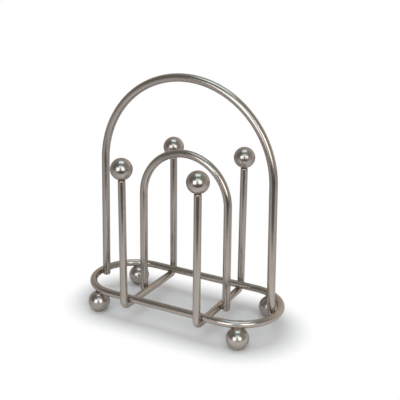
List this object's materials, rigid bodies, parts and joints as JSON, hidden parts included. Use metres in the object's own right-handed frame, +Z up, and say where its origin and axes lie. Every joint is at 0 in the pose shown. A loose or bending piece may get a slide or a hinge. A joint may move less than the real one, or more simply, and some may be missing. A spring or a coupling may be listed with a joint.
{
  "type": "napkin holder",
  "caption": "Table napkin holder of bent satin wire: an oval ring on ball feet, upright posts with ball finials and two arches that part a front and a rear stack of napkins.",
  "frame": {"origin": "centre of the footprint, on the surface that the ball feet stand on", "axes": "+Z up, +X to the right along the ring's length, +Y from the front posts to the rear posts"},
  "size_m": [0.1694, 0.0942, 0.1965],
  "materials": {
    "satin_wire": "satin nickel plate on steel wire",
    "satin_ball": "bright satin nickel plate on steel balls"
  },
  "bodies": {
    "root": {"base_ring": "satin_wire", "post_wire_left": "satin_wire", "post_wire_right": "satin_wire", "small_arch": "satin_wire", "large_arch": "satin_wire", "foot_front_left": "satin_ball", "foot_front_right": "satin_ball", "foot_rear_left": "satin_ball", "foot_rear_right": "satin_ball", "finial_front_left": "satin_ball", "finial_front_right": "satin_ball", "finial_rear_left": "satin_ball", "finial_rear_right": "satin_ball"}
  },
  "joints": []
}
